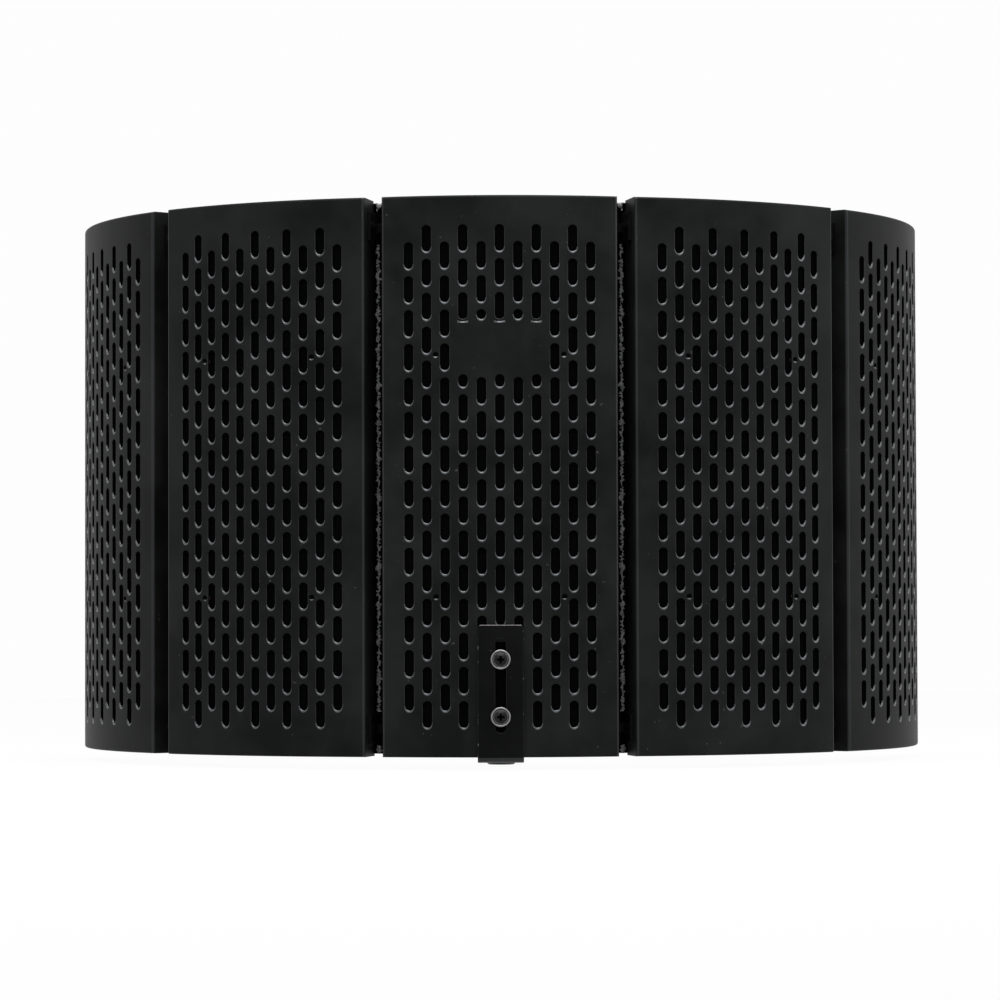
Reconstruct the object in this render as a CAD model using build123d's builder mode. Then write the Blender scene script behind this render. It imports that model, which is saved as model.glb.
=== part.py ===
from build123d import *
import os
from math import asin, cos, degrees, radians, sin, sqrt, tan

# Microphone isolation shield: five curved, slotted steel trays lined with pyramid foam, hinged side by side
# and carried on a microphone stand by a slotted L bracket.
#
# Millimetres. +Z is up. The origin is the centre of the stand thread's mouth, under the bracket. The shield's
# outer, convex side faces -Y, and the microphone stands over the origin.

# ---- Panels ----
panel_height = 305.0
panel_arc = 131.0  # width of a panel, along the curve of its outer face
outer_radius = 218.0  # curve of a panel's outer face
sheet = 1.0  # steel of the trays
tray_depth = 22.0  # how far the folded sides reach behind the outer face
bend_inside = 0.4  # inside radius of the folds
corner_relief = 0.6  # slit between two folded sides where they meet

# ---- Slots ----
column_reach = 5  # columns each side of the middle one
column_pitch = 10.0
row_pitch = 18.46
row_reach = 7  # rows each side of the middle one in the long columns
slot_width = 4.8
slot_length = 14.2

# ---- Bare places on the centre panel ----
blank_top_row = 4.5  # the name's place, in row pitches above the middle
blank_bottom_row = 3.0
blank_column_reach = 2
blank_land = 2.0  # solid metal kept between a shortened slot and the blank's upper edge
blank_sill = 0.55  # and between a shortened slot and its lower edge
landing_height = 64.0  # no slots are centred below this under the bracket
landing_column_reach = 1

# ---- Dimples over the foam studs ----
dimple_across = 70.0
dimple_rise = 65.7  # above and below the middle
dimple_radius = 1.6
dimple_depth = 0.45

# ---- Foam ----
foam_gap = 0.2  # between foam and tray
foam_proud = 4.0  # foam that stands past the tray before the pyramids start
pyramid_height = 20.0
pyramid_pitch = 20.0
pyramid_columns = 6
foam_flat = 1.5  # width of the flat valleys and tips
pocket_gap = 0.4  # around hardware sunk in the foam
lip_gap = 0.15  # between the foam's lip and the hinge axis
lip_past_hinge = 0.6  # thickness of the lip behind the hinge axis
lip_open_lean = 12.8  # slope of the lip's tip, so that two lips pass with the panels folded back
lip_close_lean = 18.5  # and folded together

# ---- Foam studs ----
stud_radius = 1.5
stud_length = 12.0
stud_flange_radius = 2.6
stud_flange = 0.8
weld_gap = 0.02  # a flat piece just clear of the curved sheet

# ---- Hinges ----
hinge_height = 16.0
hinge_end = 15.0  # hinge centre to the panel's end
hinge_depth = 25.0  # hinge axis behind the outer face
hinge_half_gap = 5.95  # hinge axis to the folded side beside it
leaf = 1.6
leaf_reach = 17.0  # leaf, from the hinge axis towards the outer face
knuckle_radius = 3.2
knuckle_gap = 0.3
pin_radius = 1.5
pin_fit = 0.05  # radial, pin in knuckles
pin_head_radius = 2.3
pin_head = 0.7
rivet_radius = 1.5
rivet_head_radius = 2.8
rivet_head = 0.9
rivet_tail_radius = 2.2
rivet_tail = 1.8
rivet_hole_gap = 0.03
rivet_steps = (8.0, 14.0)  # rivets, from the hinge axis
inner_fold = 29.17  # heading of the inner wings from the centre panel, degrees
outer_fold = 37.76  # heading of the outer wings from the inner wings, degrees

# ---- Bracket and its screws ----
thread_reach = 90.0  # centre panel's outer face to the stand thread's axis
post_drop = 4.0  # thread post below the bracket
bracket_thickness = 2.5
bracket_width = 25.0
bracket_bend_inside = 0.7
bracket_height = 72.0  # upright, above the foot's top face
bracket_slot_width = 5.7
bracket_slot_length = 51.0
bracket_slot_foot = 13.6  # slot's lower end above the foot's top face
bracket_corner = 1.2  # cut off the upright's top corners
foot_past_thread = 15.0
foot_corner = 6.0
panel_clearance = 0.3  # between the bracket and the centre panel
screw_radius = 2.0
screw_length = 10.0  # under the head
screw_head_radius = 3.7
screw_head_side = 1.0  # height of the head's straight side
screw_head_dome = 1.3  # and of the dome on it
lower_screw = 22.0  # above the centre panel's lower edge
screw_spacing = 31.0
screw_hole_gap = 0.25
washer_radius = 5.5
washer_bore_gap = 0.2
washer_floor = 0.6  # thickness under the screw head
washer_rim = 1.7  # height of the raised rim round the head
washer_rim_width = 0.6
washer_cup_gap = 0.25  # around the screw head
washer_slide_gap = 0.1
cross_reach = 1.9
cross_width = 0.8
cross_depth = 1.1
cross_taper = 8
screw_tip = 0.5
nut_across = 7.0
nut_height = 3.2
thread_gap = 0.02  # between a screw thread and its nut

# ---- Stand and microphone threads ----
post_radius = 7.94  # 5/8 inch thread, outside
stand_hole_radius = 4.05  # 3/8 inch thread, inside
stand_hole_depth = 16.0
mic_stud_length = 14.0
post_chamfer = 0.8
post_relief = 1.2  # height of the groove that ends the microphone's thread above the nut
post_relief_depth = 0.7
post_hole_gap = 0.16  # around the post, in the bracket's foot
post_nut_across = 24.0
post_nut_height = 8.0

# ---- Worked out from the above ----
half_angle = degrees(panel_arc / 2 / outer_radius)
bend_radius = bend_inside + sheet
tray_inner_radius = outer_radius - tray_depth
foam_inset = sheet + foam_gap
lip_front = hinge_depth - tray_depth - foam_gap
lip_past_end = hinge_height / 2 + pin_head + pocket_gap
valley_radius = tray_inner_radius - foam_proud
peak_radius = valley_radius - pyramid_height
hinge_heights = {"lower": hinge_end, "upper": panel_height - hinge_end}
ear_height = (hinge_height - 2 * knuckle_gap) / 3
outer_ears = ((-hinge_height / 2, ear_height - hinge_height / 2), (hinge_height / 2 - ear_height, hinge_height / 2))
middle_ear = ((-ear_height / 2, ear_height / 2),)
screw_heights = (lower_screw, lower_screw + screw_spacing)
rivet_dome = (rivet_head_radius**2 + rivet_head**2) / (2 * rivet_head)
screw_dome = (screw_head_radius**2 + screw_head_dome**2) / (2 * screw_head_dome)
foot_top = post_drop + bracket_thickness
panel_base = foot_top + panel_clearance
upright_back = -thread_reach - panel_clearance
upright_front = upright_back - bracket_thickness
centre_of_curve = outer_radius - thread_reach
cut_past = 1.0  # how far a cutting shape reaches past what it cuts

os.makedirs("parts", exist_ok=True)


# ---- Geometry shared by the panels. A panel's own frame has its centre of curvature on the Z axis, its outer
# face towards -Y and its lower edge at Z = 0. Side 1 is its right edge, seen from outside, and -1 its left. ----
def polar(radius, angle, across=0.0):
    """Plan point at a radius and heading, moved across that heading (positive is towards larger headings)."""
    turn = radians(angle)
    return (radius * sin(turn) + across * cos(turn), -radius * cos(turn) + across * sin(turn))


def edge_point(radius, inset, side):
    """Plan point at a radius on the line that lies inset inside the panel's side."""
    return polar(sqrt(radius**2 - inset**2), side * half_angle, -side * inset)


def tangent_plane(angle, radius=outer_radius, height=0.0):
    """Plane that touches the cylinder of that radius at a heading, facing out, with its Y axis upwards."""
    turn = radians(angle)
    x, y = polar(radius, angle)
    return Plane(origin=(x, y, height), x_dir=(cos(turn), sin(turn), 0), z_dir=(sin(turn), -cos(turn), 0))


def side_plane(side, depth, height):
    """Plane on a panel's folded side, facing away from the panel, at a depth behind the outer face."""
    turn = radians(side * half_angle)
    x, y = polar(outer_radius - depth, side * half_angle)
    return Plane(origin=(x, y, height), x_dir=(0, 0, 1), z_dir=(side * cos(turn), side * sin(turn), 0))


def hinge_plane(side, height):
    """Plan plane on a panel's hinge axis: its X axis points towards the neighbouring panel."""
    turn = radians(side * half_angle)
    x, y = polar(outer_radius - hinge_depth, side * half_angle, side * hinge_half_gap)
    return Plane(origin=(x, y, height), x_dir=(side * cos(turn), side * sin(turn), 0), z_dir=(0, 0, 1))


def rivet_planes(side):
    """A plane for each rivet on a panel's side, on the side's outer face."""
    return [
        side_plane(side, hinge_depth - step, height)
        for height in hinge_heights.values()
        for step in rivet_steps
    ]


def seat_radius(reach):
    """Radius at which a flat piece with that half width just clears the curved sheet's inner face."""
    return sqrt((outer_radius - sheet) ** 2 - reach**2) - weld_gap


def stud_planes(radius):
    """A plane for each foam stud of a panel, facing out at that radius."""
    reach = degrees(dimple_across / 2 / outer_radius)
    return [
        tangent_plane(angle, radius, panel_height / 2 + rise)
        for angle in (-reach, reach)
        for rise in (-dimple_rise, dimple_rise)
    ]


def curved_block(outer, inner, inset, low, high):
    """Slab between two radii, with its sides inset from the panel's sides."""
    left_out, right_out = edge_point(outer, inset, -1), edge_point(outer, inset, 1)
    left_in, right_in = edge_point(inner, inset, -1), edge_point(inner, inset, 1)
    with BuildPart() as block:
        with BuildSketch(Plane.XY.offset(low)):
            with BuildLine():
                ThreePointArc(left_out, (0, -outer), right_out)
                Line(right_out, right_in)
                ThreePointArc(right_in, (0, -inner), left_in)
                Line(left_in, left_out)
            make_face()
        extrude(amount=high - low)
    return block.part


def outer_face_edges(block):
    """The four edges round a curved block's outermost face."""
    return block.faces().filter_by(GeomType.CYLINDER).sort_by(SortBy.AREA)[-1].edges()


def keep(piece, name):
    """Label a finished piece and write it."""
    piece.part.label = name
    export_step(piece.part, f"parts/{name}.step", write_pcurves=False)


# ---- Slot layout ----
def column_rows(column):
    """Rows of one column, in row pitches above the panel's middle: odd columns are shifted by half a pitch."""
    reach = row_reach if column % 2 == 0 else row_reach - 0.5
    return [reach - step for step in range(int(2 * reach) + 1)]


def column_slots(column, has_bare_places):
    """Lowest and highest point of each slot in a column."""
    middle = panel_height / 2
    blank_low = middle + blank_bottom_row * row_pitch
    blank_high = middle + blank_top_row * row_pitch
    slots = []
    for row in column_rows(column):
        centre = middle + row * row_pitch
        low, high = centre - slot_length / 2, centre + slot_length / 2
        if has_bare_places and abs(column) <= landing_column_reach and centre < landing_height:
            continue
        beside_blank = has_bare_places and abs(column) <= blank_column_reach
        if beside_blank and low < blank_high + blank_land and high > blank_low:
            if centre >= (blank_low + blank_high) / 2:
                low = max(low, blank_high + blank_land)
            else:
                high = min(high, blank_low - blank_sill)
            if high - low < slot_width:
                continue
        slots.append((low, high))
    return slots


# ---- Panels: a tray of folded sheet with slots, dimples over the foam studs and rivet holes in its sides ----
def panel_tray(hinged_sides, is_center):
    """A panel's sheet, in the panel's own frame."""
    with BuildPart() as pocket:
        add(curved_block(outer_radius - sheet, tray_inner_radius - cut_past, sheet, sheet, panel_height - sheet))
        fillet(outer_face_edges(pocket), radius=bend_inside)
    with BuildPart() as tray:
        add(curved_block(outer_radius, tray_inner_radius, 0, 0, panel_height))
        fillet(outer_face_edges(tray), radius=bend_radius)
        add(pocket.part, mode=Mode.SUBTRACT)
        cuts = []
        for side in (-1, 1):
            slit = [
                edge_point(radius, inset, side)
                for radius, inset in (
                    (outer_radius - sheet - bend_radius, sheet),
                    (tray_inner_radius - cut_past, sheet),
                    (tray_inner_radius - cut_past, sheet + corner_relief),
                    (outer_radius - sheet - bend_radius, sheet + corner_relief),
                )
            ]
            with BuildSketch(Plane.XY):
                with BuildLine():
                    Polyline(*slit, close=True)
                make_face()
            cuts.append(extrude(amount=panel_height, mode=Mode.PRIVATE))
        for column in range(-column_reach, column_reach + 1):
            angle = degrees(column * column_pitch / outer_radius)
            with BuildSketch(tangent_plane(angle, outer_radius + cut_past)):
                for low, high in column_slots(column, is_center):
                    with Locations((0, (low + high) / 2)):
                        SlotOverall(high - low, slot_width, rotation=90)
            cuts.append(extrude(amount=-sheet - 2 * cut_past, mode=Mode.PRIVATE))
        for plane in stud_planes(outer_radius + cut_past):
            with BuildSketch(plane):
                Circle(dimple_radius + cut_past)
            cuts.append(extrude(amount=-dimple_depth - cut_past, taper=45, mode=Mode.PRIVATE))
        for side in hinged_sides:
            for plane in rivet_planes(side):
                with BuildSketch(plane):
                    Circle(rivet_radius + rivet_hole_gap)
                cuts.append(extrude(amount=-sheet - cut_past, mode=Mode.PRIVATE))
        if is_center:
            for height in screw_heights:
                with BuildSketch(tangent_plane(0, outer_radius + cut_past, height)):
                    Circle(screw_radius + screw_hole_gap)
                cuts.append(extrude(amount=-sheet - 2 * cut_past, mode=Mode.PRIVATE))
        add(cuts, mode=Mode.SUBTRACT)
    return tray


# ---- Foam: a curved slab with rows of pyramids, pierced for the studs, rivets and nuts behind the sheet ----
def groove_width(radius, pitch_at_tips):
    """Half width of the V groove between two rows of pyramids, at a radius."""
    at_tips = (pitch_at_tips - foam_flat) / 2
    return foam_flat / 2 + (at_tips - foam_flat / 2) * (valley_radius - radius) / pyramid_height


def foam_lip(side, low, high):
    """Lip of the foam behind the tray's edge, which reaches to the hinge axis and closes the gap there."""
    root = -hinge_half_gap - foam_inset - cut_past
    outer_tip = -lip_gap - lip_front * tan(radians(lip_open_lean))
    inner_tip = -lip_gap - lip_past_hinge * tan(radians(lip_close_lean))
    with BuildPart() as lip:
        with BuildSketch(hinge_plane(side, low)):
            with BuildLine():
                Polyline(
                    (root, -side * lip_front),
                    (outer_tip, -side * lip_front),
                    (-lip_gap, 0),
                    (inner_tip, side * lip_past_hinge),
                    (root, side * lip_past_hinge),
                    close=True,
                )
            make_face()
        extrude(amount=high - low)
    return lip.part


def foam_pad(hinged_sides, is_center):
    """A panel's foam, in the panel's own frame."""
    tips = peak_radius - cut_past
    side_angle = half_angle - degrees(asin(foam_inset / valley_radius))
    column_angle = 2 * side_angle / pyramid_columns
    column_pitch_at_tips = peak_radius * radians(column_angle)
    groove_reach = int((panel_height / 2 - foam_inset) / pyramid_pitch)
    with BuildPart() as pad:
        add(curved_block(outer_radius - foam_inset, peak_radius, foam_inset, foam_inset, panel_height - foam_inset))
        for side in hinged_sides:
            add(foam_lip(side, foam_inset, hinge_heights["lower"] - lip_past_end))
            add(foam_lip(side, hinge_heights["lower"] + lip_past_end, hinge_heights["upper"] - lip_past_end))
            add(foam_lip(side, hinge_heights["upper"] + lip_past_end, panel_height - foam_inset))
        cuts = []
        for row in range(-groove_reach, groove_reach + 1):
            height = panel_height / 2 + row * pyramid_pitch
            wide = groove_width(tips, pyramid_pitch)
            with BuildSketch(Plane.YZ):
                with BuildLine():
                    Polyline(
                        (valley_radius, height - foam_flat / 2),
                        (valley_radius, height + foam_flat / 2),
                        (tips, height + wide),
                        (tips, height - wide),
                        close=True,
                    )
                make_face()
            cuts.append(revolve(axis=Axis.Z, mode=Mode.PRIVATE))
        for column in range(pyramid_columns):
            angle = (column + 0.5) * column_angle - side_angle
            wide = groove_width(tips, column_pitch_at_tips)
            with BuildSketch(Plane.XY):
                with BuildLine():
                    Polyline(
                        polar(valley_radius, angle, -foam_flat / 2),
                        polar(valley_radius, angle, foam_flat / 2),
                        polar(tips, angle, wide),
                        polar(tips, angle, -wide),
                        close=True,
                    )
                make_face()
            cuts.append(extrude(amount=panel_height, mode=Mode.PRIVATE))
        for plane in stud_planes(outer_radius):
            with BuildSketch(plane):
                Circle(stud_flange_radius + pocket_gap)
            cuts.append(extrude(amount=-sheet - stud_flange - stud_length - pocket_gap, mode=Mode.PRIVATE))
        for side in hinged_sides:
            for plane in rivet_planes(side):
                with BuildSketch(plane):
                    Circle(rivet_tail_radius + pocket_gap)
                cuts.append(extrude(amount=-sheet - rivet_tail - pocket_gap, mode=Mode.PRIVATE))
        if is_center:
            for height in screw_heights:
                with BuildSketch(tangent_plane(0, outer_radius, height)):
                    Circle(nut_across / sqrt(3) + pocket_gap)
                cuts.append(extrude(amount=-sheet - screw_length, mode=Mode.PRIVATE))
        add(cuts, mode=Mode.SUBTRACT)
    return pad


# ---- Small pieces of a panel, each made along +Z at the origin ----
with BuildPart() as foam_stud:
    with BuildSketch(Plane.XY):
        Circle(stud_flange_radius)
    extrude(amount=-stud_flange)
    with BuildSketch(Plane.XY.offset(-stud_flange)):
        Circle(stud_radius)
    extrude(amount=-stud_length)
    chamfer(foam_stud.faces().sort_by(Axis.Z)[0].edges(), length=stud_radius / 3)

with BuildPart() as rivet:
    with BuildSketch(Plane.XZ):
        with BuildLine():
            Polyline(
                (0, leaf + rivet_head),
                (0, -sheet - rivet_tail),
                (rivet_tail_radius / 2, -sheet - rivet_tail),
                (rivet_tail_radius, -sheet - rivet_tail / 2),
                (rivet_tail_radius, -sheet),
                (rivet_radius, -sheet),
                (rivet_radius, leaf),
                (rivet_head_radius, leaf),
            )
            RadiusArc((rivet_head_radius, leaf), (0, leaf + rivet_head), -rivet_dome)
        make_face()
    revolve(axis=Axis.Z)


def hinge_leaf(side, height, ears):
    """A hinge's leaf on a panel's side: a plate on the folded side, and the ears that the pin goes through."""
    with BuildPart() as piece:
        with BuildSketch(hinge_plane(side, height - hinge_height / 2)):
            with Locations((leaf / 2 - hinge_half_gap, side * (knuckle_radius - leaf_reach) / 2)):
                Rectangle(leaf, leaf_reach + knuckle_radius)
        extrude(amount=hinge_height)
        for low, high in ears:
            with BuildSketch(hinge_plane(side, height + low)):
                Circle(knuckle_radius)
                with Locations((-hinge_half_gap / 2, 0)):
                    Rectangle(hinge_half_gap, 2 * knuckle_radius)
            extrude(amount=high - low)
        with BuildSketch(hinge_plane(side, height - hinge_height / 2)):
            Circle(pin_radius + pin_fit)
        extrude(amount=hinge_height, mode=Mode.SUBTRACT)
        for plane in rivet_planes(side):
            with BuildSketch(plane):
                Circle(rivet_radius + rivet_hole_gap)
            extrude(amount=leaf + cut_past, mode=Mode.SUBTRACT)
    return piece


def hinge_pin(side, height):
    """The pin of a hinge on a panel's side, headed at both ends."""
    with BuildPart() as piece:
        for low, length, radius in (
            (-hinge_height / 2 - pin_head, pin_head, pin_head_radius),
            (-hinge_height / 2, hinge_height, pin_radius),
            (hinge_height / 2, pin_head, pin_head_radius),
        ):
            with BuildSketch(hinge_plane(side, height + low)):
                Circle(radius)
            extrude(amount=length)
    return piece


# ---- Where the panels stand: plan position of the centre of curvature, and heading ----
def next_panel(place, side, fold):
    """Place of the panel on one side of another, folded from it about the hinge axis that they share."""
    x, y, heading = place
    turned = heading + side * fold
    reach = outer_radius - hinge_depth
    axis_x, axis_y = polar(reach, heading + side * half_angle, side * hinge_half_gap)
    edge_x, edge_y = polar(reach, turned - side * half_angle, -side * hinge_half_gap)
    return (x + axis_x - edge_x, y + axis_y - edge_y, turned)


places = {"center": (0.0, centre_of_curve, 0.0)}
for side, hand in ((-1, "left"), (1, "right")):
    places[f"{hand}_inner"] = next_panel(places["center"], side, inner_fold)
    places[f"{hand}_outer"] = next_panel(places[f"{hand}_inner"], side, outer_fold)


def placed(pieces, place):
    """Pieces of a panel moved from the panel's own frame to where it stands."""
    x, y, heading = place
    with BuildPart() as moved:
        with Locations(Location((x, y, panel_base), (0, 0, heading))):
            add(pieces)
    return moved


def copies(piece, planes):
    """A small piece repeated on each plane."""
    with BuildPart() as group:
        for plane in planes:
            with Locations(Location(plane)):
                add(piece.part)
    return group


# ---- Panels with their foam, studs and rivets ----
for name, place in places.items():
    is_center = name == "center"
    hinged_sides = {"left_outer": (1,), "right_outer": (-1,)}.get(name, (-1, 1))
    keep(placed(panel_tray(hinged_sides, is_center).part, place), f"{name}_panel")
    keep(placed(foam_pad(hinged_sides, is_center).part, place), f"{name}_foam")
    studs = copies(foam_stud, stud_planes(seat_radius(stud_flange_radius)))
    keep(placed(studs.part, place), f"{name}_foam_studs")
    rivets = copies(rivet, [plane for side in hinged_sides for plane in rivet_planes(side)])
    keep(placed(rivets.part, place), f"{name}_rivets")

# ---- Hinges: the leaf with two ears and the pin belong to the panel nearer the middle ----
for side, hand in ((-1, "left"), (1, "right")):
    for near, far in (("center", f"{hand}_inner"), (f"{hand}_inner", f"{hand}_outer")):
        for level, height in hinge_heights.items():
            hinge = f"{far}_{level}_hinge"
            keep(placed(hinge_leaf(side, height, outer_ears).part, places[near]), f"{hinge}_forked_leaf")
            keep(placed(hinge_leaf(-side, height, middle_ear).part, places[far]), f"{hinge}_single_leaf")
            keep(placed(hinge_pin(side, height).part, places[near]), f"{hinge}_pin")

# ---- Mounting bracket: a bent flat bar with a long slot, and a hole for the thread post ----
with BuildPart() as mounting_bracket:
    with BuildSketch(Plane.YZ):
        with BuildLine():
            Polyline(
                (upright_front, foot_top + bracket_height),
                (upright_back, foot_top + bracket_height),
                (upright_back, foot_top),
                (foot_past_thread, foot_top),
                (foot_past_thread, post_drop),
                (upright_front, post_drop),
                close=True,
            )
        make_face()
    extrude(amount=bracket_width / 2, both=True)
    bends = mounting_bracket.edges().filter_by(Axis.X)
    fillet(bends.sort_by_distance((0, upright_back, foot_top))[0], radius=bracket_bend_inside)
    outside_bend = mounting_bracket.edges().filter_by(Axis.X).sort_by_distance((0, upright_front, post_drop))[0]
    fillet(outside_bend, radius=bracket_bend_inside + bracket_thickness)
    foot_corners = mounting_bracket.edges().filter_by(Axis.Z).group_by(Axis.Y)[-1]
    fillet(foot_corners, radius=foot_corner)
    top_corners = mounting_bracket.edges().filter_by(Axis.Y).group_by(Axis.Z)[-1]
    chamfer(top_corners, length=bracket_corner)
    slot_middle = foot_top + bracket_slot_foot + bracket_slot_length / 2
    with BuildSketch(Plane.XZ.offset(-upright_back - cut_past)):
        with Locations((0, slot_middle)):
            SlotOverall(bracket_slot_length, bracket_slot_width, rotation=90)
    extrude(amount=bracket_thickness + 2 * cut_past, mode=Mode.SUBTRACT)
    with BuildSketch(Plane.XY.offset(post_drop - cut_past)):
        Circle(post_radius + post_hole_gap)
    extrude(amount=bracket_thickness + 2 * cut_past, mode=Mode.SUBTRACT)
keep(mounting_bracket, "mounting_bracket")

# ---- Thread post and the nut that holds it on the bracket's foot ----
with BuildPart() as thread_post:
    with BuildSketch(Plane.XY):
        Circle(post_radius)
    extrude(amount=foot_top + post_nut_height + mic_stud_length)
    chamfer(thread_post.edges().filter_by(GeomType.CIRCLE), length=post_chamfer)
    with BuildSketch(Plane.XY.offset(foot_top + post_nut_height)):
        Circle(post_radius + cut_past)
        Circle(post_radius - post_relief_depth, mode=Mode.SUBTRACT)
    extrude(amount=post_relief, mode=Mode.SUBTRACT)
    with BuildSketch(Plane.XY):
        Circle(stand_hole_radius)
    extrude(amount=stand_hole_depth, mode=Mode.SUBTRACT)
keep(thread_post, "thread_post")

with BuildPart() as post_nut:
    with BuildSketch(Plane.XY.offset(foot_top)):
        RegularPolygon(post_nut_across / 2, 6, major_radius=False)
        Circle(post_radius + thread_gap, mode=Mode.SUBTRACT)
    extrude(amount=post_nut_height)
keep(post_nut, "post_nut")

# ---- Screws that clamp the bracket to the centre panel, with their cupped washers and weld nuts ----
with BuildPart() as screw:
    with BuildSketch(Plane.XZ):
        with BuildLine():
            Polyline(
                (0, screw_head_side + screw_head_dome),
                (0, -screw_length),
                (screw_radius - screw_tip, -screw_length),
                (screw_radius, -screw_length + screw_tip),
                (screw_radius, 0),
                (screw_head_radius, 0),
                (screw_head_radius, screw_head_side),
            )
            RadiusArc((screw_head_radius, screw_head_side), (0, screw_head_side + screw_head_dome), -screw_dome)
        make_face()
    revolve(axis=Axis.Z)
    with BuildSketch(Plane.XY.offset(screw_head_side + screw_head_dome)):
        Rectangle(2 * cross_reach, cross_width)
        Rectangle(cross_width, 2 * cross_reach)
    extrude(amount=-cross_depth, taper=cross_taper, mode=Mode.SUBTRACT)

cup_radius = screw_head_radius + washer_cup_gap
with BuildPart() as washer:
    with BuildSketch(Plane.XZ):
        with BuildLine():
            Polyline(
                (screw_radius + washer_bore_gap, 0),
                (washer_radius, 0),
                (washer_radius, washer_floor),
                (cup_radius + 2 * washer_rim_width, washer_rim),
                (cup_radius + washer_rim_width, washer_rim),
                (cup_radius, washer_floor),
                (screw_radius + washer_bore_gap, washer_floor),
                close=True,
            )
        make_face()
    revolve(axis=Axis.Z)

with BuildPart() as weld_nut:
    with BuildSketch(Plane.XY):
        RegularPolygon(nut_across / 2, 6, major_radius=False)
        Circle(screw_radius + thread_gap, mode=Mode.SUBTRACT)
    extrude(amount=-nut_height)

washer_back = centre_of_curve - upright_front + washer_slide_gap
nut_seat = seat_radius(nut_across / sqrt(3))
for piece, radius, name in (
    (screw, washer_back + washer_floor, "bracket_screws"),
    (washer, washer_back, "bracket_washers"),
    (weld_nut, nut_seat, "bracket_nuts"),
):
    group = copies(piece, [tangent_plane(0, radius, height) for height in screw_heights])
    keep(placed(group.part, places["center"]), name)
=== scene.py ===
from math import asin, ceil, cos, degrees, dist, exp, pi, radians, sin, tan, tau

import bmesh
import bpy
import numpy as np
from mathutils import Matrix, Vector, noise


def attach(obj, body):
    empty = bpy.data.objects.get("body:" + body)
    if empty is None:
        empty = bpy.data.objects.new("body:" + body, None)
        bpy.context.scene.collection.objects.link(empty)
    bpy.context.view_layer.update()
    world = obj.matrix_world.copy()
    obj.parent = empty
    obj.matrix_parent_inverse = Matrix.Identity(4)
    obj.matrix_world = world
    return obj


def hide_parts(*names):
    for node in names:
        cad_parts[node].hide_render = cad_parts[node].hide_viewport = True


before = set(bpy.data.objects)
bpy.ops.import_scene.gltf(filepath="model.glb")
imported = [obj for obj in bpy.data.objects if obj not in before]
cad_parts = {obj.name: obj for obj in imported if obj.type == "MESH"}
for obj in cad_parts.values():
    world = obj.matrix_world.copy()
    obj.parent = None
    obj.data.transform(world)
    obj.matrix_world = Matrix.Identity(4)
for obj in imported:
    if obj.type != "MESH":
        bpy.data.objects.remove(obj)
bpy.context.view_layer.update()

# Microphone isolation shield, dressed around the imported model. Lengths here are millimetres in the model's
# own frame: +Z is up, and the shield's outer side faces -Y. Only finished meshes, materials, lamps and the
# camera's limits are in metres.
MM = 0.001

# ---- Panels ----
PANEL_HEIGHT = 305.0
PANEL_ARC = 131.0
PANEL_BASE = 6.8
OUTER_RADIUS = 218.0
SHEET = 1.0
TRAY_DEPTH = 22.0
BEND_INSIDE = 0.4
BEND_OUTSIDE = BEND_INSIDE + SHEET
BEND_TURNS = (40.0, 65.0)  # degrees at the lines within a fold
CORNER_RELIEF = 0.6
FREE_EDGE_ROUND = 0.22
FLANGE_LINES = (8.0, 15.0)  # depths at the lines across a flange
CENTRE_OF_CURVE = 128.0
HINGE_DEPTH = 25.0
HINGE_HALF_GAP = 5.95
HINGE_END = 15.0
INNER_FOLD = 29.17
OUTER_FOLD = 37.76
HALF_ARC = PANEL_ARC / 2
HALF_ANGLE = degrees(HALF_ARC / OUTER_RADIUS)
MIDDLE = PANEL_HEIGHT / 2
CLOSE = 0.001  # a length below this counts as none
SAME_PLACE = 0.0005  # corners this close become one

# A face of the sheet is painted, rubbed bright, a rubbed fold or painted near-black as shade: the numbers of
# its materials.
PAINTED, BRIGHT, FOLDED, SHADED = range(4)
# A face of the foam is its pyramids, its skin, which is painted near-black as shade, or a crest painted
# light grey for light between the pads.
PYRAMIDS, SHADED_SKIN, LIT_CREST = range(3)

# ---- Slots ----
COLUMN_REACH = 5
COLUMN_PITCH = 10.0
ROW_PITCH = 18.46
ROW_REACH = 7
SLOT_WIDTH = 4.8
SLOT_LENGTH = 14.2
RIM_WIDTH = 0.5
RIM_DEPTH = 0.8
RIM_STEPS = 5
RIM_BRIGHT_STEPS = 2  # steps of the rim, from outside, that catch the light; the others are painted near-black as shade, but at a slot's lower end when it has no bar
LOWER_LIP = 2.6  # width of the rim at a slot's lower end, over its width elsewhere
CELL_STEPS_UP = 8
CELL_STEPS_ACROSS = 4
RING_STRAIGHT = CELL_STEPS_UP // 2  # steps along a straight side of a slot, and round one of its ends
RING_ARC = CELL_STEPS_ACROSS + CELL_STEPS_UP - RING_STRAIGHT
STEP_UP = ROW_PITCH / CELL_STEPS_UP

# ---- Bare places on the centre panel ----
BLANK_TOP_ROW = 4.5
BLANK_BOTTOM_ROW = 3.0
BLANK_COLUMN_REACH = 2
BLANK_LAND = 2.0
BLANK_SILL = 0.55
BAR_DROP = 0.4  # from a rim's lowest point to the pressed bar under it
BAR_HEIGHT = 1.2
BAR_DEPTH = 0.6
BAR_MARGIN = 2  # steps of a slot's lower end on either side of the bar
BAR_SPREAD_ACROSS = 0.06  # keeps the bar's rings apart beside the slot, and under it
BAR_SPREAD_UP = 0.1
BAR_RINGS = (  # from outside: share of the spread, distance under the rim, depth
    (1.0, BAR_DROP + BAR_HEIGHT, 0), (0.6, BAR_DROP, BAR_DEPTH), (0.5, BAR_DROP, 0),
)
LANDING_HEIGHT = 64.0
LANDING_COLUMN_REACH = 1
SCREW_HEIGHTS = (22.0, 53.0)
SCREW_HOLE_RADIUS = 2.25
SCREW_HOLE_RIM = 0.25
SCREW_HOLE_STRAIGHT = 0.01  # half of the straight side that a round hole's outline keeps
WASHER_BACK = -92.9
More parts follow.
